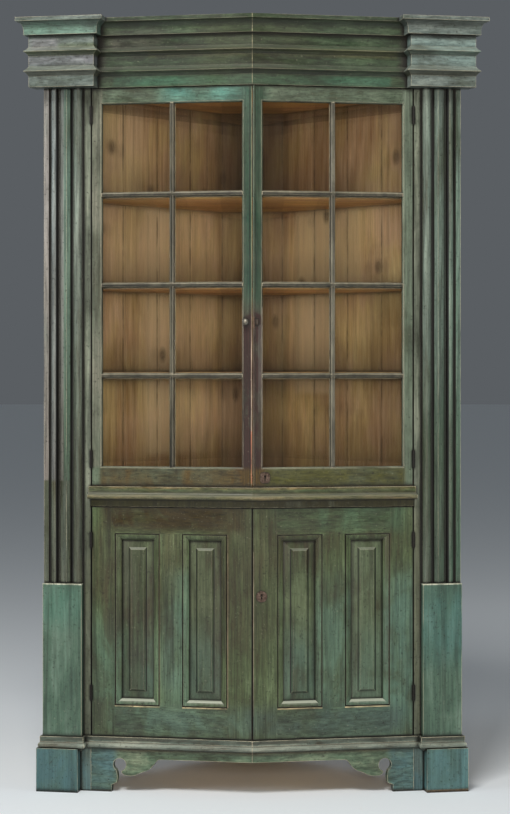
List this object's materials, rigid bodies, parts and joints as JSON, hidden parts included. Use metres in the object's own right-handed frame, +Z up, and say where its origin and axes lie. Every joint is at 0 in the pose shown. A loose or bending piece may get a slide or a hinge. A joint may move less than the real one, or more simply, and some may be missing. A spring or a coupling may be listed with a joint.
{
  "type": "corner cupboard",
  "caption": "Painted pine corner cupboard with a pointed front, glazed doors over panelled doors, reeded pilasters, broken cornice and scroll feet.",
  "frame": {"origin": "on the floor, under the middle of the cupboard's box", "axes": "+Z up, -Y out of the front towards the viewer, +X to the right as seen from the front; the room's corner lies towards +Y"},
  "size_m": [1.3652, 0.671, 2.235],
  "materials": {
    "painted_front": "grey-green oil paint, worn and crazed, dull",
    "painted_doors": "olive and teal oil paint over pine, worn, dull",
    "bare_pine": "aged bare pine, planed",
    "window_glass": "old thin window glass, slightly wavy",
    "iron": "aged dark iron",
    "pewter": "dull cast pewter",
    "worn_copper": "worn copper-coloured plate"
  },
  "bodies": {
    "case": {"left_back_boards": "bare_pine", "right_back_boards": "bare_pine", "rear_board": "bare_pine", "ceiling_board": "bare_pine", "upper_shelf_1": "bare_pine", "upper_shelf_2": "bare_pine", "upper_shelf_3": "bare_pine", "lower_shelf": "bare_pine", "deck_board": "bare_pine", "bottom_board": "bare_pine", "left_stile": "painted_front", "right_stile": "painted_front", "head_rail": "painted_front", "waist_rail": "painted_front", "left_apron": "painted_front", "right_apron": "painted_front", "left_pilaster": "painted_front", "right_pilaster": "painted_front", "left_pedestal": "painted_front", "right_pedestal": "painted_front", "left_base_moulding": "painted_front", "right_base_moulding": "painted_front", "cornice_run": "painted_front", "left_cornice_block": "painted_front", "right_cornice_block": "painted_front", "waist_moulding": "painted_front", "left_upper_bottom_hinge_stile_leaf": "iron", "left_upper_top_hinge_stile_leaf": "iron", "left_lower_bottom_hinge_stile_leaf": "iron", "left_lower_top_hinge_stile_leaf": "iron", "right_upper_bottom_hinge_stile_leaf": "iron", "right_upper_top_hinge_stile_leaf": "iron", "right_lower_bottom_hinge_stile_leaf": "iron", "right_lower_top_hinge_stile_leaf": "iron"},
    "left_upper_door": {"left_upper_bottom_hinge_door_leaf": "iron", "left_upper_top_hinge_door_leaf": "iron", "left_upper_door_frame": "painted_doors", "left_sash_bars": "painted_doors", "left_glazing": "window_glass"},
    "right_upper_door": {"right_upper_bottom_hinge_door_leaf": "iron", "right_upper_top_hinge_door_leaf": "iron", "right_upper_door_frame": "painted_doors", "right_sash_bars": "painted_doors", "right_glazing": "window_glass", "latch_keeper": "iron", "upper_escutcheon": "worn_copper"},
    "left_lower_door": {"left_lower_bottom_hinge_door_leaf": "iron", "left_lower_top_hinge_door_leaf": "iron", "left_lower_door_frame": "painted_doors", "left_inner_panel": "painted_doors", "left_outer_panel": "painted_doors"},
    "right_lower_door": {"right_lower_bottom_hinge_door_leaf": "iron", "right_lower_top_hinge_door_leaf": "iron", "right_lower_door_frame": "painted_doors", "right_inner_panel": "painted_doors", "right_outer_panel": "painted_doors", "lower_escutcheon": "worn_copper"},
    "latch": {"latch_knob": "pewter"},
    "upper_bolt": {"upper_lock_bolt": "iron"},
    "lower_bolt": {"lower_lock_bolt": "iron"}
  },
  "joints": [
    {"name": "left_upper_door_hinge", "type": "hinge", "parent": "case", "child": "left_upper_door", "pos_m": [-0.4675, -0.21616, 1.461], "axis": [0, 0, -1], "range_deg": [0, 105]},
    {"name": "left_lower_door_hinge", "type": "hinge", "parent": "case", "child": "left_lower_door", "pos_m": [-0.4675, -0.21616, 0.4965], "axis": [0, 0, -1], "range_deg": [0, 105]},
    {"name": "right_upper_door_hinge", "type": "hinge", "parent": "case", "child": "right_upper_door", "pos_m": [0.4675, -0.21616, 1.461], "axis": [0, 0, 1], "range_deg": [0, 105]},
    {"name": "right_lower_door_hinge", "type": "hinge", "parent": "case", "child": "right_lower_door", "pos_m": [0.4675, -0.21616, 0.4965], "axis": [0, 0, 1], "range_deg": [0, 105]},
    {"name": "latch_turn", "type": "hinge", "parent": "left_upper_door", "child": "latch", "pos_m": [-0.01771, -0.29424, 1.358], "axis": [0.1788, 0.9839, 0], "range_deg": [0, 90]},
    {"name": "upper_bolt_slide", "type": "slide", "parent": "right_upper_door", "child": "upper_bolt", "axis": [-0.9839, -0.1788, 0], "range_m": [0, 0.009]},
    {"name": "lower_bolt_slide", "type": "slide", "parent": "right_lower_door", "child": "lower_bolt", "axis": [-0.9839, -0.1788, 0], "range_m": [0, 0.009]}
  ]
}
